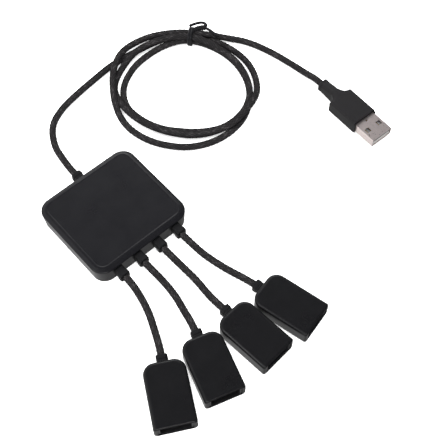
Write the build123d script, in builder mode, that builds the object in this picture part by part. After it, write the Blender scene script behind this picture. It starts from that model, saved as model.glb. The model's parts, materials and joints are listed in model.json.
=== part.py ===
"""USB hub: a flat case with four short socket cords on one side and a coiled host cord on the other.

Millimetres. The origin is the middle of the case's underside, +Z up, and everything stands on Z = 0.
The socket cords leave the -Y side, the host cord leaves the +Y side.
"""

import os
from math import cos, pi, radians, sin, tan

from build123d import *

os.makedirs("parts", exist_ok=True)

# Case
CASE_X = 50.0
CASE_Y = 46.4
CASE_H = 9.8
CASE_R = 6.5
SIDE_LEAN = 0.6          # the side wall leans in by this much between the shoulder and the base
SHOULDER_Z = 8.75        # top of the side wall, where the sloping border starts
BORDER = 1.65            # width of the sloping border
CREASE_W = 0.9           # width of the gentler band between the border and the crest
CREASE_H = 0.16          # rise of that band
PANEL_DROP = 0.1         # the flat top lies this much below the crest that the band rises to
PANEL_RAMP = 0.45        # width of the slope down to it
SHOULDER_FILLET = 0.7
BASE_T = 1.2
WALL_FOOT = 1.5          # wall thickness at the base
CEILING_Z = 8.1
FIT_GAP = 0.1

# Posts that close the case on each other through the board
POST_X = 20.2
POST_Y = 10.0
POST_R = 2.0
PIN_R = 0.9
PIN_TOP = 6.0
BOSS_FOOT = 4.0

# Circuit board
BOARD_X = 43.0
BOARD_Y = 30.0
BOARD_T = 1.0
BOARD_Z = 2.6
BOARD_TOP = BOARD_Z + BOARD_T

# Cords and their strain reliefs
CORD_D = 3.0
CORD_Z = 5.0             # height of the cord exits on the case
PORT_XS = (-15.4, -5.0, 5.4, 15.8)
RELIEF_W = 4.4
RELIEF_LIP_W = 4.9
RELIEF_LIP = 1.9
RELIEF_CORNER = 1.1
COLLAR_W = 5.8
COLLAR_T = 1.4
CASE_RELIEF_END = 27.6   # distance of the reliefs' outer faces from the case's middle
WIRE_D = 0.8
WIRE_PITCH = 1.0
PAD_PITCH = 2.0

# Socket, a USB-A receptacle in a moulded housing
SOCKET_W = 17.7
SOCKET_L = 27.7
SOCKET_H = 8.4
SOCKET_REAR_R = 5.0
SOCKET_EDGE = 1.7
MOUTH_EDGE = 1.0
MOUTH_INSET = 0.4        # the metal shell starts this far behind the mouth
MOUTH_LEDGE = 0.6        # the recess in front of the shell is this much wider all round
SOCKET_RELIEF = 3.4
RECEPTACLE_W = 12.5      # clear opening
RECEPTACLE_H = 5.12
RECEPTACLE_D = 13.6
SHEET = 0.3              # sheet thickness of both metal shells
TONGUE_W = 11.1
TONGUE_T = 1.84
TONGUE_DROP = 0.72       # gap between the opening's upper face and the tongue
TONGUE_FRONT = 0.9       # the tongue starts this far behind the mouth
CONTACT_XS = (-3.5, -1.0, 1.0, 3.5)
CONTACT_W = 1.0
CONTACT_T = 0.2

# Mouth centre and heading, in degrees from +X, of each socket
SOCKETS = (
    (-41.8, -91.9, -119.0),
    (-19.1, -95.4, -108.0),
    (8.2, -96.9, -85.7),
    (30.2, -96.6, -76.9),
)

# Plug, a USB-A plug
PLUG_MOUTH = (119.4, -37.3)   # where the metal shell leaves the moulding
PLUG_HEADING = -91.9
PLUG_SHELL_W = 12.0
PLUG_SHELL_H = 4.5
PLUG_SHELL_OUT = 12.0
PLUG_SHELL_IN = 6.5
PLUG_W = 13.4
PLUG_H = 7.4
PLUG_BODY_L = 16.6
PLUG_NECK_W = 5.1
PLUG_NECK_L = 8.6
PLUG_LIP_W = 5.6
PLUG_LIP = 1.3
PLUG_CHEEK = 0.9        # the moulding's sides reach this far beside the shell
SHOULDER_SWEEP = 3.4     # radius of the hollow curve from the body into the neck
WINDOW = 2.3
WINDOW_BACK = 5.9        # window centres behind the tip
WINDOW_X = 3.45

# Coil and the wire tie that holds it
COIL_H = 7.2
COIL_EDGE = 2.6
COIL_MIDDLE = (69.0, 37.0)
TIE_ANGLE = 39.0
TIE_RADIUS = 30.6        # distance of the tied bundle's centre from the coil's middle
BUNDLE_W = 6.4
BUNDLE_H = 6.2
TIE_WIRE = 1.2
TIE_T = 0.8


def export(piece, name):
    """Label a finished piece and write it to its own file."""
    piece.part.label = name
    export_step(piece.part, f"parts/{name}.step")


def heading(angle):
    """Unit vector in the XY plane."""
    return Vector(cos(radians(angle)), sin(radians(angle)), 0)


def plan(place, angle, height=0.0):
    """Horizontal plane whose X runs along a heading."""
    return Plane(origin=(place[0], place[1], height), x_dir=heading(angle), z_dir=(0, 0, 1))


def facing(place, direction, height):
    """Upright plane that looks along a direction, with its Y pointing up."""
    return Plane(
        origin=(place[0], place[1], height),
        x_dir=Vector(0, 0, 1).cross(direction),
        z_dir=direction,
    )


def step_back(place, angle, distance):
    """Point a distance behind a place, against its heading."""
    return (place[0] - distance * cos(radians(angle)), place[1] - distance * sin(radians(angle)))


def corner_radii(points, share=0.45):
    """Largest arcs that the runs on each side of a corner allow."""
    radii = []
    for before, corner, after in zip(points, points[1:], points[2:]):
        run_in = Vector(corner) - Vector(before)
        run_out = Vector(after) - Vector(corner)
        half_turn = radians(run_in.get_angle(run_out)) / 2
        radii.append(share * min(run_in.length, run_out.length) / tan(half_turn))
    return radii


def tube(name, points, diameter):
    """Cord as straight runs joined by tangent arcs."""
    radii = corner_radii(points)
    with BuildPart() as cord:
        with BuildLine() as route:
            FilletPolyline(*points, radius=radii)
        line = route.wires()[0]
        with BuildSketch(Plane(origin=line @ 0, z_dir=line % 0)):
            Circle(diameter / 2)
        sweep(path=line)
    shortest = min(radii)
    filled = cord.part.volume / (pi * diameter**2 / 4 * line.length)
    print(f"{name}: length {line.length:.1f}, smallest radius {shortest:.1f}, filled {filled:.4f}")
    print("   radii", " ".join(f"{radius:.0f}" for radius in radii))
    export(cord, name)


def relief(name, seat, outside, inside):
    """Strain relief: a sleeve with a lip at its outer end and a collar behind the wall."""
    with BuildPart() as sleeve:
        with BuildSketch(seat):
            RectangleRounded(RELIEF_W, RELIEF_W, RELIEF_CORNER)
        extrude(amount=outside)
        with BuildSketch(seat.offset(outside - RELIEF_LIP)):
            RectangleRounded(RELIEF_LIP_W, RELIEF_LIP_W, RELIEF_CORNER + 0.3)
        extrude(amount=RELIEF_LIP)
        fillet(sleeve.faces().sort_by(seat.location.z_axis)[-1].edges(), 0.35)
        with BuildSketch(seat):
            RectangleRounded(RELIEF_W, RELIEF_W, RELIEF_CORNER)
        extrude(amount=-inside)
        with BuildSketch(seat.offset(-inside)):
            RectangleRounded(COLLAR_W, COLLAR_W, RELIEF_CORNER)
        extrude(amount=-COLLAR_T)
    export(sleeve, name)
    return sleeve


# ---------------------------------------------------------------- case
base_x = CASE_X - 2 * SIDE_LEAN
base_y = CASE_Y - 2 * SIDE_LEAN
cavity_x = base_x - 2 * WALL_FOOT
cavity_y = base_y - 2 * WALL_FOOT
cavity_r = CASE_R - SIDE_LEAN - WALL_FOOT
border_top = CASE_H - CREASE_H
crest_inset = BORDER + CREASE_W
crest = (CASE_X - 2 * crest_inset, CASE_Y - 2 * crest_inset, CASE_R - crest_inset)
panel_inset = crest_inset + PANEL_RAMP
post_places = GridLocations(2 * POST_X, 2 * POST_Y, 2, 2)

with BuildPart() as top_cover:
    # leaning side wall
    with BuildSketch(Plane.XY.offset(BASE_T)):
        RectangleRounded(base_x, base_y, CASE_R - SIDE_LEAN)
    with BuildSketch(Plane.XY.offset(SHOULDER_Z)):
        RectangleRounded(CASE_X, CASE_Y, CASE_R)
    loft(ruled=True)
    # sloping border, rounded over at the shoulder
    with BuildSketch(Plane.XY.offset(SHOULDER_Z)):
        RectangleRounded(CASE_X, CASE_Y, CASE_R)
    with BuildSketch(Plane.XY.offset(border_top)):
        RectangleRounded(CASE_X - 2 * BORDER, CASE_Y - 2 * BORDER, CASE_R - BORDER)
    loft(ruled=True)
    shoulder = top_cover.edges().filter_by_position(Axis.Z, SHOULDER_Z - 0.01, SHOULDER_Z + 0.01)
    fillet(shoulder, SHOULDER_FILLET)
    # gentler band up to the crest
    with BuildSketch(Plane.XY.offset(border_top)):
        RectangleRounded(CASE_X - 2 * BORDER, CASE_Y - 2 * BORDER, CASE_R - BORDER)
    with BuildSketch(Plane.XY.offset(CASE_H)):
        RectangleRounded(*crest)
    loft(ruled=True)
    # flat top, sunk inside the crest
    with BuildSketch(Plane.XY.offset(CASE_H - PANEL_DROP)):
        RectangleRounded(CASE_X - 2 * panel_inset, CASE_Y - 2 * panel_inset, CASE_R - panel_inset)
    with BuildSketch(Plane.XY.offset(CASE_H)):
        RectangleRounded(*crest)
    loft(ruled=True, mode=Mode.SUBTRACT)
    # inside
    with BuildSketch(Plane.XY.offset(BASE_T)):
        RectangleRounded(cavity_x, cavity_y, cavity_r)
    extrude(amount=CEILING_Z - BASE_T, mode=Mode.SUBTRACT)
    # bosses for the base's pins
    with BuildSketch(Plane.XY.offset(CEILING_Z)):
        with post_places:
            Circle(POST_R)
            Circle(PIN_R + FIT_GAP, mode=Mode.SUBTRACT)
    extrude(amount=-(CEILING_Z - BOSS_FOOT))
    # notches that drop over the strain reliefs
    for side, xs in ((-1, PORT_XS), (1, (0.0,))):
        with BuildSketch(Plane.XZ.offset(-side * (cavity_y / 2 + 1))):
            for x in xs:
                with Locations((x, (BASE_T + CORD_Z) / 2)):
                    Rectangle(RELIEF_W, CORD_Z - BASE_T)
                with Locations((x, CORD_Z)):
                    RectangleRounded(RELIEF_W, RELIEF_W, RELIEF_CORNER)
        extrude(amount=2, both=True, mode=Mode.SUBTRACT)
export(top_cover, "top_cover")

with BuildPart() as bottom_cover:
    with BuildSketch():
        RectangleRounded(base_x, base_y, CASE_R - SIDE_LEAN)
    extrude(amount=BASE_T)
    fillet(bottom_cover.faces().sort_by(Axis.Z)[0].edges(), 0.5)
    # lip inside the side wall, open where the reliefs' collars stand
    with BuildSketch(Plane.XY.offset(BASE_T)):
        RectangleRounded(cavity_x - 2 * FIT_GAP, cavity_y - 2 * FIT_GAP, cavity_r - FIT_GAP)
        RectangleRounded(cavity_x - 2, cavity_y - 2, cavity_r - 1, mode=Mode.SUBTRACT)
        for x in PORT_XS:
            with Locations((x, -cavity_y / 2)):
                Rectangle(COLLAR_W + 0.6, 4, mode=Mode.SUBTRACT)
        with Locations((0, cavity_y / 2)):
            Rectangle(COLLAR_W + 0.6, 4, mode=Mode.SUBTRACT)
    extrude(amount=1.4)
    # tabs that close the notches below the reliefs
    tab_y = (base_y + cavity_y) / 4
    with BuildSketch(Plane.XY.offset(BASE_T)):
        for x in PORT_XS:
            with Locations((x, -tab_y)):
                Rectangle(RELIEF_W - 2 * FIT_GAP, WALL_FOOT - 2 * FIT_GAP)
        with Locations((0, tab_y)):
            Rectangle(RELIEF_W - 2 * FIT_GAP, WALL_FOOT - 2 * FIT_GAP)
    extrude(amount=CORD_Z - RELIEF_W / 2 - BASE_T)
    # posts with pins
    with BuildSketch(Plane.XY.offset(BASE_T)):
        with post_places:
            Circle(POST_R)
    extrude(amount=BOARD_Z - BASE_T)
    with BuildSketch(Plane.XY.offset(BOARD_Z)):
        with post_places:
            Circle(PIN_R)
    extrude(amount=PIN_TOP - BOARD_Z)
export(bottom_cover, "bottom_cover")

# ---------------------------------------------------------------- board
with BuildPart() as circuit_board:
    with BuildSketch(Plane.XY.offset(BOARD_Z)):
        RectangleRounded(BOARD_X, BOARD_Y, 1.5)
        with post_places:
            Circle(PIN_R + 0.2, mode=Mode.SUBTRACT)
    extrude(amount=BOARD_T)
export(circuit_board, "circuit_board")


def board_parts(name, places, size, edge):
    """Equal rectangular components that stand on the board."""
    with BuildPart() as group:
        with BuildSketch(Plane.XY.offset(BOARD_TOP)):
            with Locations(*places):
                Rectangle(size[0], size[1])
        extrude(amount=size[2])
        fillet(group.edges().group_by(Axis.Z)[-1], edge)
    export(group, name)


board_parts("hub_controller", ((0.0, 0.5),), (7.0, 7.0, 1.2), 0.15)
board_parts("port_capacitors", [(x, -8.2) for x in PORT_XS], (3.5, 2.8, 1.9), 0.2)
board_parts(
    "ceramic_capacitors",
    [(-6.0, -3.5), (6.0, -3.5), (-6.0, 0.5), (6.0, 0.5), (-3.0, 6.0), (0.0, 6.0), (3.0, 6.0), (13.0, 4.0)],
    (1.6, 0.8, 0.8),
    0.1,
)
board_parts(
    "chip_resistors",
    [(-6.0, 3.2), (6.0, 3.2), (-9.5, -3.5), (9.5, -3.5), (9.5, 0.5), (13.0, 1.5)],
    (1.6, 0.8, 0.45),
    0.08,
)
board_parts("regulator", ((12.5, 8.5),), (2.9, 1.6, 1.1), 0.12)

with BuildPart() as crystal:
    with BuildSketch(Plane.XY.offset(BOARD_TOP)):
        with Locations((-11.5, 4.5)):
            SlotOverall(10.8, 4.5, rotation=90)
    extrude(amount=0.5)
    with BuildSketch(Plane.XY.offset(BOARD_TOP + 0.5)):
        with Locations((-11.5, 4.5)):
            SlotOverall(10.0, 3.7, rotation=90)
    extrude(amount=2.8)
    fillet(crystal.faces().sort_by(Axis.Z)[-1].edges(), 0.5)
export(crystal, "crystal")


def wires(name, x_middle, side):
    """Four insulated conductors from a relief's inner face down to their pads on the board."""
    start_y = cavity_y / 2 - COLLAR_T - FIT_GAP
    pad_y = BOARD_Y / 2 - 3.0
    wire_z = BOARD_TOP + WIRE_D / 2
    with BuildPart() as bundle:
        for index, (column, row) in enumerate(((-1, -1), (-1, 1), (1, 1), (1, -1))):
            x_start = x_middle + column * WIRE_PITCH / 2
            x_pad = x_middle + (index - 1.5) * PAD_PITCH
            z_start = CORD_Z + row * WIRE_PITCH / 2
            points = (
                (x_start, side * start_y, z_start),
                (x_start, side * (start_y - 1.2), z_start),
                (x_pad, side * (pad_y + 2.4), wire_z),
                (x_pad, side * pad_y, wire_z),
            )
            with BuildLine() as route:
                FilletPolyline(*points, radius=[1.0, 1.0])
            line = route.wires()[0]
            with BuildSketch(Plane(origin=line @ 0, z_dir=line % 0)):
                Circle(WIRE_D / 2)
            sweep(path=line)
    export(bundle, name)


# ---------------------------------------------------------------- cord exits on the case
collar_gap = 0.1
wall_depth = CASE_Y / 2 - cavity_y / 2 + collar_gap
relief_out = CASE_RELIEF_END - CASE_Y / 2
relief("host_relief", facing((0, CASE_Y / 2), Vector(0, 1, 0), CORD_Z), relief_out, wall_depth)
wires("host_wires", 0.0, 1)
for number, x in enumerate(PORT_XS, start=1):
    seat = facing((x, -CASE_Y / 2), Vector(0, -1, 0), CORD_Z)
    relief(f"port_relief_{number}", seat, relief_out, wall_depth)
    wires(f"port_wires_{number}", x, -1)


# ---------------------------------------------------------------- sockets
def contacts(name, mouth, first, last, height):
    """Four contact blades that lie along the mouth's direction."""
    with BuildPart() as blades:
        with BuildSketch(mouth.offset(last)):
            for x in CONTACT_XS:
                with Locations((x, height)):
                    Rectangle(CONTACT_W, CONTACT_T)
        extrude(amount=first - last)
    export(blades, name)


def socket(number, place, angle):
    """One socket: metal shell, tongue, contacts, inner moulding, strain relief and housing."""
    ahead = heading(angle)
    mouth = facing(place, ahead, SOCKET_H / 2)
    shell_w = RECEPTACLE_W + 2 * SHEET
    shell_h = RECEPTACLE_H + 2 * SHEET
    inset = MOUTH_INSET
    with BuildPart() as shell:
        with BuildSketch(mouth.offset(-inset)):
            RectangleRounded(shell_w, shell_h, 0.6)
            RectangleRounded(RECEPTACLE_W, RECEPTACLE_H, 0.3, mode=Mode.SUBTRACT)
        extrude(amount=-RECEPTACLE_D)
    export(shell, f"socket_shell_{number}")

    tongue_y = RECEPTACLE_H / 2 - TONGUE_DROP - TONGUE_T / 2
    tongue_root = RECEPTACLE_D + inset - 3.0
    with BuildPart() as tongue:
        with BuildSketch(mouth.offset(-tongue_root)):
            Rectangle(RECEPTACLE_W - 0.6, RECEPTACLE_H - 0.6)
        extrude(amount=-3.0)
        with BuildSketch(mouth.offset(-tongue_root)):
            with Locations((0, tongue_y)):
                Rectangle(TONGUE_W, TONGUE_T)
        extrude(amount=tongue_root - inset - TONGUE_FRONT)
        fillet(tongue.faces().sort_by(mouth.location.z_axis)[-1].edges(), 0.3)
    export(tongue, f"socket_tongue_{number}")
    contact_y = tongue_y - TONGUE_T / 2 - CONTACT_T / 2
    contacts(f"socket_contacts_{number}", mouth, -inset - TONGUE_FRONT - 0.6, -tongue_root, contact_y)

    mould_front = RECEPTACLE_D + inset
    mould_length = 6.0
    with BuildPart() as mould:
        with BuildSketch(mouth.offset(-mould_front)):
            RectangleRounded(shell_w - 0.6, shell_h - 0.2, 0.6)
        extrude(amount=-mould_length)
    export(mould, f"socket_inner_mould_{number}")

    seat = facing(step_back(place, angle, SOCKET_L), -ahead, SOCKET_H / 2)
    sleeve = relief(f"socket_relief_{number}", seat, SOCKET_RELIEF, 3.0)
    with BuildPart() as housing:
        with BuildSketch(plan(place, angle)) as outline:
            with Locations((-SOCKET_L / 2, 0)):
                Rectangle(SOCKET_L, SOCKET_W)
            fillet(outline.vertices().sort_by(Axis.X)[:2], SOCKET_REAR_R)
        extrude(amount=SOCKET_H)
        front = housing.faces().sort_by(Axis(place + (0,), tuple(ahead)))[-1]
        rims = housing.faces().filter_by(Axis.Z).edges()
        front_edges = front.edges()
        fillet([edge for edge in rims if edge not in front_edges], SOCKET_EDGE)
        front = housing.faces().sort_by(Axis(place + (0,), tuple(ahead)))[-1]
        fillet(front.outer_wire().edges(), MOUTH_EDGE)
        # recess in front of the shell, then the seats of the shell, the inner moulding and the relief
        with BuildSketch(mouth):
            RectangleRounded(shell_w + 2 * MOUTH_LEDGE, shell_h + 2 * MOUTH_LEDGE, 1.0)
        extrude(amount=-inset, mode=Mode.SUBTRACT)
        with BuildSketch(mouth):
            RectangleRounded(shell_w, shell_h, 0.6)
        extrude(amount=-mould_front, mode=Mode.SUBTRACT)
        add(mould.part, mode=Mode.SUBTRACT)
        add(sleeve.part, mode=Mode.SUBTRACT)
    export(housing, f"socket_housing_{number}")


for number, (x, y, angle) in enumerate(SOCKETS, start=1):
    socket(number, (x, y), angle)


# ---------------------------------------------------------------- plug
plug_ahead = heading(PLUG_HEADING)
plug_face = facing(PLUG_MOUTH, plug_ahead, PLUG_H / 2)
plug_axis = plug_face.location.z_axis
tip = PLUG_SHELL_OUT

with BuildPart() as plug_shell:
    with BuildSketch(plug_face.offset(-PLUG_SHELL_IN)):
        RectangleRounded(PLUG_SHELL_W, PLUG_SHELL_H, 0.5)
        RectangleRounded(PLUG_SHELL_W - 2 * SHEET, PLUG_SHELL_H - 2 * SHEET, 0.25, mode=Mode.SUBTRACT)
    extrude(amount=PLUG_SHELL_IN + tip)
    with BuildSketch(plan(PLUG_MOUTH, PLUG_HEADING)):
        with Locations((tip - WINDOW_BACK, WINDOW_X), (tip - WINDOW_BACK, -WINDOW_X)):
            Rectangle(WINDOW, WINDOW)
    extrude(amount=PLUG_H, mode=Mode.SUBTRACT)
    with BuildSketch(plan(PLUG_MOUTH, PLUG_HEADING, PLUG_H / 2)):
        with Locations((1.6, 0)):
            Rectangle(0.9, 1.0)
    extrude(amount=PLUG_H / 2, mode=Mode.SUBTRACT)
export(plug_shell, "plug_shell")

insulator_h = 1.95
insulator_w = PLUG_SHELL_W - 2 * SHEET
insulator_y = -PLUG_SHELL_H / 2 + SHEET + insulator_h / 2
with BuildPart() as plug_insulator:
    with BuildSketch(plug_face.offset(-PLUG_SHELL_IN)):
        with Locations((0, insulator_y)):
            Rectangle(insulator_w - 0.5, insulator_h)
    extrude(amount=PLUG_SHELL_IN + tip - 0.4)
    with BuildSketch(plug_face.offset(-PLUG_SHELL_IN)):
        Rectangle(insulator_w - 0.5, PLUG_SHELL_H - 2 * SHEET)
    extrude(amount=PLUG_SHELL_IN)
export(plug_insulator, "plug_insulator")
contacts("plug_contacts", plug_face, tip - 1.2, 0.0, insulator_y + insulator_h / 2 + CONTACT_T / 2)

with BuildPart() as plug_inner_mould:
    with BuildSketch(plug_face.offset(-PLUG_SHELL_IN)):
        RectangleRounded(PLUG_SHELL_W - 0.6, PLUG_SHELL_H, 0.6)
    extrude(amount=-6.0)
export(plug_inner_mould, "plug_inner_mould")

neck_root = -PLUG_BODY_L - SHOULDER_SWEEP
neck_end = -PLUG_BODY_L - PLUG_NECK_L - SHOULDER_SWEEP
with BuildPart() as plug_overmould:
    with BuildSketch(plan(PLUG_MOUTH, PLUG_HEADING)) as body:
        # half of the outline, with the hollow shoulder as one arc
        with BuildLine():
            shoulder = (-PLUG_BODY_L, PLUG_W / 2)
            root = (neck_root, PLUG_NECK_W / 2)
            Line((0, 0), (0, PLUG_W / 2))
            Line((0, PLUG_W / 2), shoulder)
            RadiusArc(shoulder, root, SHOULDER_SWEEP * 1.15)
            Line(root, (neck_root, 0))
            Line((neck_root, 0), (0, 0))
        make_face()
        mirror(about=Plane.XZ)
    extrude(amount=PLUG_H)
    ends = plug_overmould.faces().sort_by(plug_axis)
    rims = plug_overmould.faces().filter_by(Axis.Z).edges()
    flat_ends = ends[-1].edges() + ends[0].edges()
    fillet([edge for edge in rims if edge not in flat_ends], 1.3)
    # neck, as tall as the body at its root
    neck = facing(step_back(PLUG_MOUTH, PLUG_HEADING, -neck_root), -plug_ahead, PLUG_H / 2)
    with BuildSketch(neck.offset(-0.5)):
        RectangleRounded(PLUG_NECK_W, PLUG_H - 0.2, 1.5)
    with BuildSketch(neck.offset(PLUG_NECK_L)):
        RectangleRounded(PLUG_NECK_W, PLUG_NECK_W, 1.5)
    loft()
    with BuildSketch(neck.offset(PLUG_NECK_L - PLUG_LIP)):
        RectangleRounded(PLUG_LIP_W, PLUG_LIP_W, 1.7)
    extrude(amount=PLUG_LIP)
    fillet(plug_overmould.faces().sort_by(plug_axis)[0].edges(), 0.4)
    # cheeks beside the shell
    with BuildSketch(plug_face.offset(-1)):
        RectangleRounded(PLUG_W, PLUG_H - 1.2, 1.3)
        Rectangle(PLUG_SHELL_W + 0.3, PLUG_H, mode=Mode.SUBTRACT)
    extrude(amount=1 + PLUG_CHEEK)
    with BuildSketch(plug_face):
        RectangleRounded(PLUG_SHELL_W, PLUG_SHELL_H, 0.5)
    extrude(amount=-PLUG_SHELL_IN, mode=Mode.SUBTRACT)
    add(plug_inner_mould.part, mode=Mode.SUBTRACT)
export(plug_overmould, "plug_overmould")


# ---------------------------------------------------------------- socket cords
STRAIGHT_OUT = 4.6       # every cord leaves its relief straight for this far


def entry(place, angle, height):
    """Point where a cord meets a relief's outer face, and the point straight before it."""
    before = step_back(place, angle, STRAIGHT_OUT)
    return (before[0], before[1], height), (place[0], place[1], height)


PORT_ROUTES = (
    ((-16.4, -39.8, 3.2), (-18.2, -46.7, 1.7), (-21.2, -53.4, 2.6)),
    ((-4.3, -40.0, 3.2), (-4.6, -47.5, 1.7), (-6.5, -54.8, 2.7)),
    ((6.2, -40.0, 3.3), (6.9, -47.6, 1.8), (5.9, -54.8, 3.0)),
    ((16.8, -39.8, 3.3), (18.7, -46.8, 1.8), (20.3, -54.2, 2.6)),
)
for number, (x, route, (mx, my, angle)) in enumerate(zip(PORT_XS, PORT_ROUTES, SOCKETS), start=1):
    start = reversed(entry((x, -CASE_RELIEF_END), 90, CORD_Z))
    end = entry(step_back((mx, my), angle, SOCKET_L + SOCKET_RELIEF), angle, SOCKET_H / 2)
    tube(f"port_cord_{number}", (*start, *route, *end), CORD_D)

# ---------------------------------------------------------------- host cord
HOST_LEAD = (
    (0.0, CASE_RELIEF_END, CORD_Z),
    (0.0, CASE_RELIEF_END + STRAIGHT_OUT, CORD_Z),
    (1.3, 40.4, 3.4),
    (3.0, 49.0, 1.6),
    (8.7, 59.3, 1.5),
    (18.2, 64.4, 1.5),
    (30.2, 66.8, 1.5),
    (42.0, 68.4, 1.5),
    (51.4, 69.6, 1.5),
)
HOST_TAIL = (
    (99.4, 51.2, 4.7),
    (106.2, 45.3, 1.9),
    (112.9, 36.8, 1.5),
    (117.0, 24.6, 1.5),
    (119.4, 11.8, 1.5),
    (120.3, 1.5, 2.2),
    *entry(step_back(PLUG_MOUTH, PLUG_HEADING, -neck_end), PLUG_HEADING, PLUG_H / 2),
)
tube("host_cord_lead", HOST_LEAD, CORD_D)
tube("host_cord_tail", HOST_TAIL, CORD_D)

# Outline corners of the tied coil, as angle and distance from its middle
COIL_OUTSIDE = (
    (39, 34.0), (70, 37.4), (98, 38.8), (128, 36.0), (158, 33.4), (190, 35.2),
    (222, 37.4), (252, 39.2), (284, 39.4), (314, 40.4), (344, 38.6), (12, 35.4),
)
COIL_INSIDE = (
    (39, 27.6), (70, 24.4), (100, 23.6), (130, 24.2), (160, 25.6), (190, 24.8),
    (220, 23.2), (250, 25.8), (280, 31.6), (310, 33.0), (340, 29.6), (10, 26.8),
)


def ring_points(corners):
    """Corners of an outline around the coil, and the largest arcs they allow."""
    middle = Vector(*COIL_MIDDLE, 0)
    points = [tuple(middle + heading(angle) * distance) for angle, distance in corners]
    return points, corner_radii([points[-1], *points, points[0]])


# Tie: a wire band around the bundle, twisted together outside it, with two free ends
tie_middle = Vector(*COIL_MIDDLE, 0) + heading(TIE_ANGLE) * TIE_RADIUS
tie_plane = facing((tie_middle.X, tie_middle.Y), heading(TIE_ANGLE - 90), TIE_T + BUNDLE_H / 2)
TIE_ENDS = (
    ((101.4, 56.2, 4.9), (101.9, 58.9, 5.1), (99.6, 60.9, 4.8), (96.6, 61.9, 4.4)),
    ((101.4, 56.2, 4.9), (102.2, 53.3, 6.3), (102.3, 50.2, 6.9), (102.6, 47.2, 6.4)),
)
with BuildPart() as wire_tie:
    with BuildSketch(tie_plane.offset(-TIE_WIRE / 2)):
        RectangleRounded(BUNDLE_W + 2 * TIE_T, BUNDLE_H + 2 * TIE_T, 2.4)
        RectangleRounded(BUNDLE_W, BUNDLE_H, 1.8, mode=Mode.SUBTRACT)
    extrude(amount=TIE_WIRE)
    with BuildLine() as twist:
        Line((95.9, 58.2, 5.4), TIE_ENDS[0][0])
    line = twist.wires()[0]
    with BuildSketch(Plane(origin=line @ 0, z_dir=line % 0)):
        Circle(TIE_WIRE * 0.7)
    sweep(path=line)
    for points in TIE_ENDS:
        with BuildLine() as end:
            FilletPolyline(*points, radius=corner_radii(points))
        line = end.wires()[0]
        with BuildSketch(Plane(origin=line @ 0, z_dir=line % 0)):
            Circle(TIE_WIRE / 2)
        sweep(path=line)
export(wire_tie, "wire_tie")

with BuildPart() as cord_coil:
    for corners, mode in ((COIL_OUTSIDE, Mode.ADD), (COIL_INSIDE, Mode.SUBTRACT)):
        points, radii = ring_points(corners)
        with BuildSketch():
            with BuildLine():
                FilletPolyline(*points, radius=radii, close=True)
            make_face()
        extrude(amount=COIL_H, mode=mode)
    fillet(cord_coil.faces().sort_by(Axis.Z)[-1].edges(), COIL_EDGE)
    # the tie draws the turns together
    with BuildSketch(tie_plane.offset(-TIE_WIRE / 2)):
        Rectangle(4 * BUNDLE_W, 4 * BUNDLE_H)
        RectangleRounded(BUNDLE_W, BUNDLE_H, 1.8, mode=Mode.SUBTRACT)
    extrude(amount=TIE_WIRE, mode=Mode.SUBTRACT)
export(cord_coil, "cord_coil")
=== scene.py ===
"""Looks of the USB hub: woven cords, moulded plastics, nickel shells and a soft white studio."""

import json
from math import cos, pi, radians, sin

import bpy
import numpy as np
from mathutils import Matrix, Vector


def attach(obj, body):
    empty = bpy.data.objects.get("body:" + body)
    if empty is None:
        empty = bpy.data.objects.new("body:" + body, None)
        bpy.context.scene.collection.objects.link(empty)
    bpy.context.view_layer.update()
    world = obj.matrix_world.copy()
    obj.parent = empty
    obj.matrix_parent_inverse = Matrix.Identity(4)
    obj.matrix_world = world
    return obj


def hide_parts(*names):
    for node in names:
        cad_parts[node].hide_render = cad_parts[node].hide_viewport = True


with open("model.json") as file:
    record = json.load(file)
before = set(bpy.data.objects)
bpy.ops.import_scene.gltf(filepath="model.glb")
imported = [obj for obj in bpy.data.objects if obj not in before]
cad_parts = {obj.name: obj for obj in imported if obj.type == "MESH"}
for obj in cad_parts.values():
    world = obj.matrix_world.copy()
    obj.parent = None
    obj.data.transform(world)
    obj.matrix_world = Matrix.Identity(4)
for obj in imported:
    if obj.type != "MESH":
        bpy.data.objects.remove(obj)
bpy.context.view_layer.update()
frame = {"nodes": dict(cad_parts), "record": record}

MM = 0.001
CORD_D = 3.0 * MM
ROOT = "root"


# ---------------------------------------------------------------- camera
VIEW_TARGET = Vector((34.7, -33.8, 0.0)) * MM
VIEW_ANGLES = (-41.7, 59.93)  # azimuth and elevation in degrees
VIEW_DISTANCE = 399.0 * MM
LENS = 72.3
SENSOR = 36.0


def make_camera():
    """Camera at a desk viewer's height, turned to the hub's left front corner."""
    azimuth, elevation = (radians(angle) for angle in VIEW_ANGLES)
    back = Vector((sin(azimuth) * cos(elevation), -cos(azimuth) * cos(elevation), sin(elevation)))
    data = bpy.data.cameras.new("camera")
    data.lens = LENS
    data.sensor_width = SENSOR
    data.clip_start = 0.01
    camera = bpy.data.objects.new("camera", data)
    camera.location = VIEW_TARGET + back * VIEW_DISTANCE
    camera.rotation_euler = back.to_track_quat("Z", "Y").to_euler()
    bpy.context.scene.collection.objects.link(camera)
    bpy.context.scene.camera = camera


make_camera()

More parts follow.
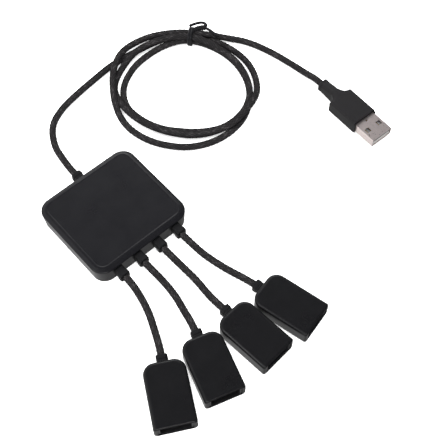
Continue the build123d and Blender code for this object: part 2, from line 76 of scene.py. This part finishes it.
# ---------------------------------------------------------------- cord routes, as in the CAD source
PORT_XS = (-15.4, -5.0, 5.4, 15.8)
SOCKETS = ((-41.8, -91.9, -119.0), (-19.1, -95.4, -108.0), (8.2, -96.9, -85.7), (30.2, -96.6, -76.9))
EXIT_Y = 27.6        # outer face of the case's strain reliefs
EXIT_Z = 5.0
STRAIGHT_OUT = 4.6   # how far a cord runs straight out of a strain relief
SOCKET_BACK = 31.1   # from a socket's mouth to the outer face of its strain relief
SOCKET_Z = 4.2
PLUG_ENTRY = (119.4, -37.3, -91.9)
PLUG_BACK = 28.6     # from the plug moulding's front to the end of its neck
PLUG_Z = 3.7
PORT_ROUTES = (
    ((-16.4, -39.8, 3.2), (-18.2, -46.7, 1.7), (-21.2, -53.4, 2.6)),
    ((-4.3, -40.0, 3.2), (-4.6, -47.5, 1.7), (-6.5, -54.8, 2.7)),
    ((6.2, -40.0, 3.3), (6.9, -47.6, 1.8), (5.9, -54.8, 3.0)),
    ((16.8, -39.8, 3.3), (18.7, -46.8, 1.8), (20.3, -54.2, 2.6)),
)
HOST_LEAD = (
    (0.0, EXIT_Y, EXIT_Z),
    (0.0, EXIT_Y + STRAIGHT_OUT, EXIT_Z),
    (1.3, 40.4, 3.4),
    (3.0, 49.0, 1.6),
    (8.7, 59.3, 1.5),
    (18.2, 64.4, 1.5),
    (30.2, 66.8, 1.5),
    (42.0, 68.4, 1.5),
    (51.4, 69.6, 1.5),
)
HOST_TAIL = (
    (99.4, 51.2, 4.7),
    (106.2, 45.3, 1.9),
    (112.9, 36.8, 1.5),
    (117.0, 24.6, 1.5),
    (119.4, 11.8, 1.5),
    (120.3, 1.5, 2.2),
)


def entry(place, angle, back, height):
    """Point straight before a strain relief's outer face, and the point on that face."""
    x, y = (place[i] - back * f(radians(angle)) for i, f in enumerate((cos, sin)))
    before = (x - STRAIGHT_OUT * cos(radians(angle)), y - STRAIGHT_OUT * sin(radians(angle)), height)
    return before, (x, y, height)


# ---------------------------------------------------------------- coil
COIL_MIDDLE = (69.0, 37.0)
TIE_ANGLE = 39.0
# Stations round the coil: angle, then each of the three turns' distance from the middle and height
STATIONS = (
    (39, (32.1, 2.3), (29.2, 5.3), (29.2, 2.3)),
    (25, (32.9, 1.9), (29.0, 4.9), (29.5, 1.9)),
    (12, (33.9, 1.5), (28.8, 4.4), (29.9, 1.5)),
    (0, (34.9, 1.5), (29.2, 4.4), (30.4, 1.5)),
    (-20, (36.7, 1.5), (30.9, 4.5), (31.6, 1.5)),
    (-40, (37.5, 2.2), (33.1, 4.5), (33.4, 1.5)),
    (-50, (37.6, 4.4), (34.3, 4.5), (34.2, 1.5)),
    (-60, (37.3, 6.5), (34.8, 4.5), (35.0, 1.5)),
    (-68, (36.7, 7.1), (35.0, 4.4), (35.6, 1.5)),
    (-75, (36.0, 6.8), (34.6, 4.1), (36.0, 1.5)),
    (-82, (35.2, 5.6), (33.6, 2.8), (36.1, 1.5)),
    (-90, (34.1, 4.0), (32.0, 1.6), (36.2, 1.5)),
    (-100, (32.7, 3.5), (30.3, 1.5), (36.2, 1.5)),
    (-110, (31.4, 3.2), (28.5, 1.5), (36.1, 1.5)),
    (-120, (30.3, 3.1), (27.2, 1.5), (35.8, 1.5)),
    (-130, (29.2, 3.3), (26.2, 1.5), (35.3, 1.5)),
    (-140, (28.5, 3.5), (25.9, 1.5), (34.7, 1.5)),
    (-160, (28.1, 4.0), (25.9, 1.5), (34.1, 1.5)),
    (-180, (28.6, 4.1), (26.5, 1.5), (33.5, 1.5)),
    (-192, (29.3, 3.7), (27.4, 1.5), (32.8, 2.0)),
    (-202, (29.9, 3.0), (27.5, 1.5), (32.3, 3.0)),
    (-211, (30.7, 1.6), (27.4, 1.5), (32.0, 4.3)),
    (-220, (31.6, 1.5), (27.1, 1.5), (32.0, 4.5)),
    (-230, (31.4, 1.5), (26.6, 1.5), (32.8, 4.4)),
    (-240, (30.9, 1.5), (26.0, 1.5), (33.5, 4.5)),
    (-250, (30.6, 2.0), (25.8, 1.5), (34.5, 4.5)),
    (-260, (30.1, 3.5), (25.6, 1.5), (35.2, 3.8)),
    (-270, (29.7, 4.1), (25.6, 1.5), (35.4, 2.7)),
    (-280, (29.4, 4.2), (26.1, 1.5), (35.1, 2.6)),
    (-290, (29.3, 4.4), (26.9, 1.6), (33.8, 3.4)),
    (-300, (29.2, 4.8), (27.8, 1.8), (32.5, 4.3)),
    (-310, (29.2, 5.1), (28.8, 2.1), (32.0, 4.8)),
)
# The lead's way along the coil to the first station, and the last turn's place under the tie
ARRIVAL = (
    (112, 34.9, 1.5),
    (105, 33.4, 1.5),
    (98, 32.1, 1.5),
    (89, 31.2, 1.5),
    (76, 31.1, 1.6),
    (62, 31.7, 1.9),
    (50, 32.0, 2.2),
)
LAST_SLOT = (31.8, 5.1)
STEP = 8.0           # degrees between the spline's points round the coil


def on_coil(angle, distance, height):
    """Point at an angle and a distance from the coil's middle."""
    return (
        COIL_MIDDLE[0] + distance * cos(radians(angle)),
        COIL_MIDDLE[1] + distance * sin(radians(angle)),
        height,
    )


def coil_turns():
    """The lead's way into the tie and the three turns, as points of the cord's spline."""
    angles, distances, heights = [], [], []
    for turn in range(3):
        for station in STATIONS:
            angles.append(360.0 * turn - station[0])
            distances.append(station[1 + turn][0])
            heights.append(station[1 + turn][1])
    angles.append(360.0 * 3 - TIE_ANGLE)
    distances.append(LAST_SLOT[0])
    heights.append(LAST_SLOT[1])
    points = [on_coil(*place) for place in ARRIVAL]
    steps = int((angles[-1] - angles[0]) / STEP)
    for turned in np.linspace(angles[0], angles[-1], steps + 1):
        distance = smooth_between(turned, angles, distances)
        height = smooth_between(turned, angles, heights)
        points.append(on_coil(-turned, distance, max(height, CORD_D / MM / 2)))
    return points


def smooth_between(at, places, values):
    """Cubic through the stations, with each station's slope taken from its neighbours."""
    i = min(max(int(np.searchsorted(places, at, side="right")) - 1, 0), len(places) - 2)
    span = places[i + 1] - places[i]
    share = (at - places[i]) / span

    def slope(k):
        before, after = max(k - 1, 0), min(k + 1, len(places) - 1)
        return (values[after] - values[before]) / (places[after] - places[before])

    start, end = values[i], values[i + 1]
    lead, tail = slope(i) * span, slope(i + 1) * span
    cube, square = share**3, share**2
    return (
        (2 * cube - 3 * square + 1) * start
        + (cube - 2 * square + share) * lead
        + (3 * square - 2 * cube) * end
        + (cube - square) * tail
    )


# ---------------------------------------------------------------- cords as woven tubes
def spline_points(name, points):
    """Points along the smooth NURBS curve that has the route's points as its control points."""
    curve = bpy.data.curves.new(name + "_route", "CURVE")
    curve.dimensions = "3D"
    curve.resolution_u = 10
    spline = curve.splines.new("NURBS")
    spline.points.add(len(points) - 1)
    for target, point in zip(spline.points, points):
        target.co = (point[0] * MM, point[1] * MM, point[2] * MM, 1.0)
    spline.order_u = 3
    spline.use_endpoint_u = True
    route = bpy.data.objects.new(name + "_route", curve)
    mesh = bpy.data.meshes.new_from_object(route)
    line = np.array([vertex.co for vertex in mesh.vertices])
    bpy.data.objects.remove(route)
    bpy.data.curves.remove(curve)
    bpy.data.meshes.remove(mesh)
    return line


def even_steps(line, step):
    """The same line with evenly spaced points, and the distance along it of each."""
    run = np.concatenate(([0.0], np.cumsum(np.linalg.norm(np.diff(line, axis=0), axis=1))))
    along = np.linspace(0.0, run[-1], max(int(run[-1] / step), 4) + 1)
    return np.stack([np.interp(along, run, line[:, axis]) for axis in range(3)], axis=1), along


def frames_along(line):
    """Sideways and upward unit vectors carried along a line without twist."""
    ahead = np.gradient(line, axis=0)
    ahead /= np.linalg.norm(ahead, axis=1)[:, None]
    side = np.cross((0.0, 0.0, 1.0), ahead[0])
    side /= np.linalg.norm(side)
    sides = []
    for direction in ahead:
        side = side - direction * float(side @ direction)
        side = side / np.linalg.norm(side)
        sides.append(side)
    sides = np.array(sides)
    return sides, np.cross(ahead, sides)


YARNS = 8                  # yarns that wind each way round the sleeve
YARN_PITCH = 18.0 * MM     # length of one full turn of a yarn
THREADS = 5.0              # threads side by side in a yarn
WEAVE_DEPTH = 0.16 * MM
SLEEVE_SWELL = 0.13 * MM   # how far the fullest yarns stand out past the nominal diameter
YARN_DIP = 0.4             # share of its height that a yarn loses where it dives under the next
AROUND = 32
ALONG = 0.3 * MM


def weave(around, along):
    """Height of the woven sleeve, 0 to 1, and which of its two sets of yarns is on top, 0 or 1.

    Each set winds its own way round the sleeve and passes over and under the other in turn.
    """
    left = YARNS * (around + along / YARN_PITCH)
    right = YARNS * (around - along / YARN_PITCH)
    over = (np.floor(left) + np.floor(right)) % 2
    across_left = np.sin(pi * (left % 1))
    across_right = np.sin(pi * (right % 1))
    left_on_top = across_left * (1 - YARN_DIP + YARN_DIP * across_right)
    right_on_top = across_right * (1 - YARN_DIP + YARN_DIP * across_left)
    return np.where(over > 0, left_on_top, right_on_top), over


def woven_tube(name, points):
    """Mesh of a woven sleeve that follows a cord's spline; returns the piece and its centre line."""
    line, along = even_steps(spline_points(name, points), ALONG)
    sides, ups = frames_along(line)
    share = np.arange(AROUND) / AROUND
    turn = 2 * pi * share
    height, over = weave(share[None, :], along[:, None])
    radius = CORD_D / 2 + SLEEVE_SWELL - WEAVE_DEPTH * (1 - height)
    rings = (
        line[:, None, :]
        + radius[:, :, None] * (np.cos(turn)[None, :, None] * sides[:, None, :])
        + radius[:, :, None] * (np.sin(turn)[None, :, None] * ups[:, None, :])
    )
    count = len(line)
    mesh = bpy.data.meshes.new(name)
    mesh.from_pydata(rings.reshape(-1, 3).tolist(), [], tube_faces(count, AROUND))
    uv = mesh.uv_layers.new(name="sleeve")
    coordinates = []
    for i in range(count - 1):
        for j in range(AROUND):
            a, b = j / AROUND, (j + 1) / AROUND
            coordinates += [a, along[i], b, along[i], b, along[i + 1], a, along[i + 1]]
    coordinates += [0.0, 0.0] * (2 * AROUND)
    uv.data.foreach_set("uv", coordinates)
    for layer, values in (("height", height), ("over", over)):
        attribute = mesh.attributes.new(layer, "FLOAT", "POINT")
        attribute.data.foreach_set("value", values.astype(np.float32).ravel())
    mesh.polygons.foreach_set("use_smooth", [True] * len(mesh.polygons))
    return shown(name, mesh), line


def tube_faces(count, around, first=0):
    """Faces of a tube of rings, with a flat face on each end."""
    faces = []
    for i in range(count - 1):
        for j in range(around):
            k = (j + 1) % around
            here, there = first + i * around, first + (i + 1) * around
            faces.append((here + j, here + k, there + k, there + j))
    faces.append(tuple(first + j for j in reversed(range(around))))
    faces.append(tuple(first + (count - 1) * around + j for j in range(around)))
    return faces


def shown(name, mesh):
    """Object with this mesh, linked into the scene."""
    piece = bpy.data.objects.new(name, mesh)
    bpy.context.scene.collection.objects.link(piece)
    return piece


def make_cords():
    """The four socket cords and the coiled host cord."""
    cords = []
    for number, (x, route, socket) in enumerate(zip(PORT_XS, PORT_ROUTES, SOCKETS), start=1):
        before, start = entry((x, -EXIT_Y), 90, 0.0, EXIT_Z)
        ends = entry(socket[:2], socket[2], SOCKET_BACK, SOCKET_Z)
        name = f"woven_port_cord_{number}"
        piece, line = woven_tube(name, (start, before, *route, *ends))
        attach(piece, ROOT)
        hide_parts(f"port_cord_{number}")
        cords.append(piece)
    ends = entry(PLUG_ENTRY[:2], PLUG_ENTRY[2], PLUG_BACK, PLUG_Z)
    piece, line = woven_tube("woven_host_cord", (*HOST_LEAD, *coil_turns(), *HOST_TAIL, *ends))
    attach(piece, ROOT)
    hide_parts("host_cord_lead", "cord_coil", "host_cord_tail")
    cords.append(piece)
    return cords


# ---------------------------------------------------------------- wire tie
TIE_WIRE_D = 1.4 * MM
TIE_MIDDLE_R = 30.6
TIE_LOOP = (3.6, 3.5)    # half width and half height of the band's centre line
TIE_LOOP_R = 2.2
TIE_TWIST = ((93.9, 56.6, 6.4), (96.4, 56.5, 6.1), (99.2, 55.9, 5.7), (101.2, 54.9, 5.3))
TIE_CURL = (
    (100.6, 55.0, 5.4),
    (102.4, 55.1, 5.3),
    (103.1, 57.7, 5.2),
    (100.6, 60.2, 4.9),
    (96.4, 61.7, 4.4),
)
TIE_DROP = ((100.8, 55.2, 5.4), (101.3, 53.0, 5.7), (101.3, 49.9, 6.1), (102.3, 46.9, 4.8))
TIE_MIDDLE_Z = 3.9       # height of the band's middle
BAND_HALF_GAP = 0.55     # from the band's middle to each of its two wires
ROPE_TURN = 2.3 * MM     # length of one turn of the two twisted wires
ROPE_STEP = 0.12 * MM
WIRE_STEP = 0.25 * MM
WIRE_AROUND = 12
WIRE_TIP = (0.55, 0.9)   # share of its radius that a wire has at its end and one step in
CORNER_STEP = 15         # degrees between the points round a corner of the band


def wire_rings(line, radius):
    """Rings of a round wire along a line, drawn in at both ends to round them off."""
    sides, ups = frames_along(line)
    turn = 2 * pi * np.arange(WIRE_AROUND) / WIRE_AROUND
    swell = np.full(len(line), radius)
    swell[[0, -1]] *= WIRE_TIP[0]
    swell[[1, -2]] *= WIRE_TIP[1]
    return (
        line[:, None, :]
        + swell[:, None, None] * np.cos(turn)[None, :, None] * sides[:, None, :]
        + swell[:, None, None] * np.sin(turn)[None, :, None] * ups[:, None, :]
    )


def band_line(shift):
    """One wire of the band, once round the bundle, with its ends on the outer upper corner."""
    angle = radians(TIE_ANGLE)
    outward = np.array((cos(angle), sin(angle), 0.0))
    along = np.array((sin(angle), -cos(angle), 0.0))
    middle = np.array((*COIL_MIDDLE, TIE_MIDDLE_Z)) + outward * TIE_MIDDLE_R + along * shift
    points = []
    for corner, (side, rise) in enumerate(((1, 1), (1, -1), (-1, -1), (-1, 1), (1, 1))):
        first = 45 if corner == 0 else 90
        last = 45 if corner == 4 else 0
        for degrees in range(first, last - 1, -CORNER_STEP):
            swing = radians(degrees) - corner * pi / 2
            points.append(
                middle
                + outward * (side * (TIE_LOOP[0] - TIE_LOOP_R) + TIE_LOOP_R * cos(swing))
                + np.array((0, 0, rise * (TIE_LOOP[1] - TIE_LOOP_R) + TIE_LOOP_R * sin(swing)))
            )
    return even_steps(np.array(points) * MM, WIRE_STEP)[0]


def make_tie():
    """Vinyl-coated wire tie: a doubled band, a twisted rope and two loose ends."""
    radius = TIE_WIRE_D / 2
    lines = [band_line(-BAND_HALF_GAP), band_line(BAND_HALF_GAP)]
    rope, along = even_steps(spline_points("tie_rope", TIE_TWIST), ROPE_STEP)
    sides, ups = frames_along(rope)
    for phase in (0.0, pi):
        swing = 2 * pi * along / ROPE_TURN + phase
        lines.append(rope + radius * (np.cos(swing)[:, None] * sides + np.sin(swing)[:, None] * ups))
    for name, points in (("tie_curl", TIE_CURL), ("tie_drop", TIE_DROP)):
        lines.append(even_steps(spline_points(name, points), WIRE_STEP)[0])
    vertices, faces = [], []
    for line in lines:
        faces += tube_faces(len(line), WIRE_AROUND, len(vertices))
        vertices += wire_rings(line, radius).reshape(-1, 3).tolist()
    mesh = bpy.data.meshes.new("twisted_wire_tie")
    mesh.from_pydata(vertices, [], faces)
    mesh.polygons.foreach_set("use_smooth", [True] * len(mesh.polygons))
    piece = shown("twisted_wire_tie", mesh)
    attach(piece, ROOT)
    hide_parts("wire_tie")
    return piece


tie = make_tie()
cords = make_cords()


# ---------------------------------------------------------------- materials
class Look:
    """A Principled material with helpers for the nodes that drive it."""

    def __init__(self, name, color, roughness, metallic=0.0, specular=0.5):
        self.material = bpy.data.materials.new(name)
        self.material.use_nodes = True
        self.nodes = self.material.node_tree.nodes
        self.links = self.material.node_tree.links
        self.shader = self.nodes["Principled BSDF"]
        self.place = self.nodes.new("ShaderNodeTexCoord").outputs["Object"]
        self.shader.inputs["Base Color"].default_value = (*color, 1.0)
        self.shader.inputs["Roughness"].default_value = roughness
        self.shader.inputs["Metallic"].default_value = metallic
        self.shader.inputs["Specular IOR Level"].default_value = specular

    def noise(self, size, detail=3.0, stretch=None):
        """Noise whose blobs are about this size, in metres."""
        node = self.nodes.new("ShaderNodeTexNoise")
        node.inputs["Scale"].default_value = 1.0 / size
        node.inputs["Detail"].default_value = detail
        place = self.place
        if stretch:
            mapping = self.nodes.new("ShaderNodeMapping")
            mapping.inputs["Scale"].default_value = stretch
            self.links.new(place, mapping.inputs["Vector"])
            place = mapping.outputs["Vector"]
        self.links.new(place, node.inputs["Vector"])
        return node.outputs["Fac"]

    def spread(self, value, low, high):
        """Map the useful middle of a noise to a range."""
        node = self.nodes.new("ShaderNodeMapRange")
        node.inputs["From Min"].default_value = 0.3
        node.inputs["From Max"].default_value = 0.7
        node.inputs["To Min"].default_value = low
        node.inputs["To Max"].default_value = high
        self.links.new(value, node.inputs["Value"])
        return node.outputs["Result"]

    def tint(self, value, dark, light):
        """Colour between two ends by a value from 0 to 1."""
        node = self.nodes.new("ShaderNodeValToRGB")
        node.color_ramp.elements[0].color = (*dark, 1.0)
        node.color_ramp.elements[1].color = (*light, 1.0)
        self.links.new(value, node.inputs["Fac"])
        self.links.new(node.outputs["Color"], self.shader.inputs["Base Color"])

    def roughness(self, value, low, high):
        self.links.new(self.spread(value, low, high), self.shader.inputs["Roughness"])

    def math(self, operation, *values):
        node = self.nodes.new("ShaderNodeMath")
        node.operation = operation
        for socket, value in zip(node.inputs, values):
            if isinstance(value, (int, float)):
                socket.default_value = value
            else:
                self.links.new(value, socket)
        return node.outputs["Value"]

    def bump(self, value, height):
        """Raise the surface by a value times a height in metres, on top of what is there."""
        node = self.nodes.new("ShaderNodeBump")
        node.inputs["Distance"].default_value = height
        node.inputs["Strength"].default_value = 1.0
        self.links.new(value, node.inputs["Height"])
        normal = self.shader.inputs["Normal"]
        if normal.is_linked:
            self.links.new(normal.links[0].from_socket, node.inputs["Normal"])
        self.links.new(node.outputs["Normal"], normal)


def moulded(name, color, roughness, grain, depth, specular):
    """Moulded plastic: a fine spark-eroded grain and a faint unevenness of sheen."""
    look = Look(name, color, roughness, specular=specular)
    look.roughness(look.noise(9 * MM), roughness - 0.05, roughness + 0.05)
    look.tint(look.noise(4 * MM), tuple(0.9 * c for c in color), tuple(1.1 * c for c in color))
    look.bump(look.noise(grain, 2.0), depth)
    look.bump(look.noise(12 * MM, 1.0), 0.05 * MM)
    return look.material


def rolled_metal(name, color, roughness):
    """Plated sheet: rolling marks, cloudy sheen and a few rubbed specks."""
    look = Look(name, color, roughness, metallic=1.0)
    look.roughness(look.noise(0.8 * MM, 5.0), roughness - 0.08, roughness + 0.1)
    look.tint(look.noise(0.6 * MM, 6.0), tuple(0.74 * c for c in color), color)
    look.bump(look.noise(0.35 * MM, 4.0, (1.0, 0.12, 1.0)), 0.012 * MM)
    return look.material


def woven_nylon():
    """Nylon sleeve: fine threads along each yarn, painted shade in the gaps between yarns and paler
    flecks.
    """
    look = Look("woven_nylon", (0.012, 0.012, 0.013), 0.8, specular=0.0)
    sleeve = look.nodes.new("ShaderNodeUVMap")
    sleeve.uv_map = "sleeve"
    split = look.nodes.new("ShaderNodeSeparateXYZ")
    look.links.new(sleeve.outputs["UV"], split.inputs["Vector"])
    layers = []
    for layer in ("height", "over"):
        node = look.nodes.new("ShaderNodeAttribute")
        node.attribute_name = layer
        layers.append(node.outputs["Fac"])
    height, over = layers
    around, turns = split.outputs["X"], look.math("DIVIDE", split.outputs["Y"], YARN_PITCH)
    threads, cells = [], []
    for operation in ("ADD", "SUBTRACT"):
        yarn = look.math("MULTIPLY", look.math(operation, around, turns), float(YARNS))
        threads.append(look.math("PINGPONG", look.math("MULTIPLY", yarn, THREADS), 0.5))
        cells.append(look.math("FLOOR", yarn))
    mix = look.nodes.new("ShaderNodeMix")
    look.links.new(over, mix.inputs["Factor"])
    look.links.new(threads[1], mix.inputs["A"])
    look.links.new(threads[0], mix.inputs["B"])
    cell = look.nodes.new("ShaderNodeCombineXYZ")
    look.links.new(cells[0], cell.inputs["X"])
    look.links.new(cells[1], cell.inputs["Y"])
    fleck = look.nodes.new("ShaderNodeTexWhiteNoise")
    fleck.noise_dimensions = "2D"
    look.links.new(cell.outputs["Vector"], fleck.inputs["Vector"])
    pale = look.math("POWER", fleck.outputs["Value"], 4.0)
    # Painted shade: the sleeve's colour darkens where the weave sinks between and under the yarns;
    # the flecks are the yarns' own paler tone
    flecks_and_painted_gap_shade = look.math("MULTIPLY", height, look.math("MULTIPLY_ADD", pale, 0.65, 0.35))
    look.tint(flecks_and_painted_gap_shade, (0.0045, 0.0044, 0.0046), (0.045, 0.0425, 0.0438))
    look.bump(mix.outputs["Result"], 0.05 * MM)
    return look.material


def circuit_board_mask():
    """Green solder mask with faint tracks under it."""
    look = Look("solder_mask", (0.01, 0.09, 0.035), 0.35)
    look.tint(look.noise(1.2 * MM, 1.0, (1.0, 0.2, 1.0)), (0.008, 0.07, 0.028), (0.014, 0.12, 0.05))
    return look.material


# Name of each moulded material: colour, roughness, grain size and grain depth in mm, specular level
MOULDED = {
    "case_plastic": ((0.0044, 0.0044, 0.0054), 0.32, 0.22, 0.006, 0.3),
    "relief_rubber": ((0.005, 0.005, 0.0055), 0.5, 0.3, 0.015, 0.15),
    "socket_moulding": ((0.0035, 0.0035, 0.004), 0.31, 0.25, 0.008, 0.26),
    "plug_moulding": ((0.0078, 0.0074, 0.008), 0.58, 0.2, 0.015, 0.2),
    "insulator": ((0.012, 0.012, 0.013), 0.45, 0.3, 0.01, 0.3),
    "insulator_white": ((0.3, 0.29, 0.28), 0.4, 0.3, 0.01, 0.5),
    "inner_mould": ((0.3, 0.3, 0.29), 0.5, 0.4, 0.02, 0.3),
    "chip_black": ((0.02, 0.02, 0.02), 0.55, 0.2, 0.01, 0.3),
    "capacitor_tantalum": ((0.5, 0.32, 0.04), 0.5, 0.2, 0.01, 0.3),
    "capacitor_ceramic": ((0.42, 0.3, 0.18), 0.5, 0.1, 0.01, 0.3),
    "wire_insulation": ((0.4, 0.03, 0.03), 0.4, 0.3, 0.01, 0.3),
    "tie_vinyl": ((0.006, 0.006, 0.007), 0.4, 0.25, 0.02, 0.2),
}
# Name of each metal: colour and roughness
METALS = {
    "shell_nickel": ((0.97, 0.86, 0.83), 0.34),
    # Receptacle shells: a dark grey copy of the nickel, painted shade for their place deep inside
    # the socket mouths
    "receptacle_steel": ((0.16, 0.16, 0.17), 0.4),
    "contact_gold": ((0.75, 0.52, 0.2), 0.28),
    "crystal_can": ((0.6, 0.6, 0.61), 0.3),
}


def make_materials():
    made = {"cord_braid": woven_nylon(), "board": circuit_board_mask()}
    for name, (color, roughness, grain, depth, specular) in MOULDED.items():
        made[name] = moulded(name, color, roughness, grain * MM, depth * MM, specular)
    for name, (color, roughness) in METALS.items():
        made[name] = rolled_metal(name, color, roughness)
    return made


materials = make_materials()
for cord in cords:
    cord.data.materials.append(materials["cord_braid"])
tie.data.materials.append(materials["tie_vinyl"])
for part in frame["record"]["subparts"]:
    for socket in frame["nodes"][part["node"]].material_slots:
        socket.material = materials[part["material_slot"]]


# ---------------------------------------------------------------- studio
SKY_STRENGTH = 0.76
SKY_LEAN = (-0.43, 0.47, 0.0)  # what the sky's strength gains per unit of direction
FLOOR_HALF = 12.0
FLOOR_DROP = 0.1 * MM    # keeps the floor clear of the undersides that rest on it
FLOOR_GLOW = 0.5         # fills the narrow shadows, as on a light table


def area_light(name, place, size, power, mirrored=True):
    """Softbox that faces the object; one that isn't mirrored shows in no reflection."""
    data = bpy.data.lights.new(name, "AREA")
    data.shape = "RECTANGLE"
    data.size, data.size_y = size
    data.energy = power
    light = bpy.data.objects.new(name, data)
    light.location = place
    aim = Vector((0.03, 0.0, 0.0)) - light.location
    light.rotation_euler = aim.to_track_quat("-Z", "Y").to_euler()
    light.visible_glossy = mirrored
    bpy.context.scene.collection.objects.link(light)


def make_sky():
    """World of a light tent: dim overhead, and brighter beyond the hub's left rear corner."""
    world = bpy.data.worlds.new("studio")
    world.use_nodes = True
    nodes, links = world.node_tree.nodes, world.node_tree.links
    split = nodes.new("ShaderNodeSeparateXYZ")
    direction = nodes.new("ShaderNodeTexCoord").outputs["Generated"]
    links.new(direction, split.inputs["Vector"])
    ramp = nodes.new("ShaderNodeValToRGB")
    ramp.color_ramp.elements[0].color = (0.75, 0.75, 0.75, 1.0)
    ramp.color_ramp.elements[1].color = (0.06, 0.06, 0.062, 1.0)
    for place, value in ((0.6, 0.6), (0.87, 0.3), (0.93, 0.1)):
        ramp.color_ramp.elements.new(place).color = (value, value, 1.03 * value, 1.0)
    links.new(split.outputs["Z"], ramp.inputs["Fac"])
    background = nodes["Background"]
    links.new(ramp.outputs["Color"], background.inputs["Color"])
    toward = nodes.new("ShaderNodeVectorMath")
    toward.operation = "DOT_PRODUCT"
    toward.inputs[1].default_value = SKY_LEAN
    links.new(direction, toward.inputs[0])
    strength = nodes.new("ShaderNodeMath")
    strength.inputs[1].default_value = SKY_STRENGTH
    links.new(toward.outputs["Value"], strength.inputs[0])
    links.new(strength.outputs["Value"], background.inputs["Strength"])
    bpy.context.scene.world = world


def make_studio():
    corners = [(x * FLOOR_HALF, y * FLOOR_HALF, 0) for x, y in ((-1, -1), (1, -1), (1, 1), (-1, 1))]
    mesh = bpy.data.meshes.new("floor")
    mesh.from_pydata(corners, [], [(0, 1, 2, 3)])
    floor = shown("floor", mesh)
    floor.location.z = -FLOOR_DROP
    paper = Look("paper", (0.9, 0.9, 0.9), 0.9, specular=0.0)
    paper.tint(paper.noise(2 * MM), (0.88, 0.88, 0.88), (0.92, 0.92, 0.92))
    paper.shader.inputs["Emission Color"].default_value = (1.0, 1.0, 1.0, 1.0)
    paper.shader.inputs["Emission Strength"].default_value = FLOOR_GLOW
    mesh.materials.append(paper.material)
    floor.visible_glossy = False
    area_light("overhead", (0.0, 0.0, 1.2), (1.6, 1.6), 46.0, mirrored=False)
    area_light("window", (0.55, 0.75, 0.55), (0.6, 0.35), 2.5)
    area_light("side", (-0.8, 0.1, 0.4), (0.3, 0.5), 1.5)
    area_light("front", (-0.6, -0.75, 0.45), (0.8, 0.2), 4.0)
    make_sky()
    bpy.context.scene.view_settings.view_transform = "Standard"


make_studio()
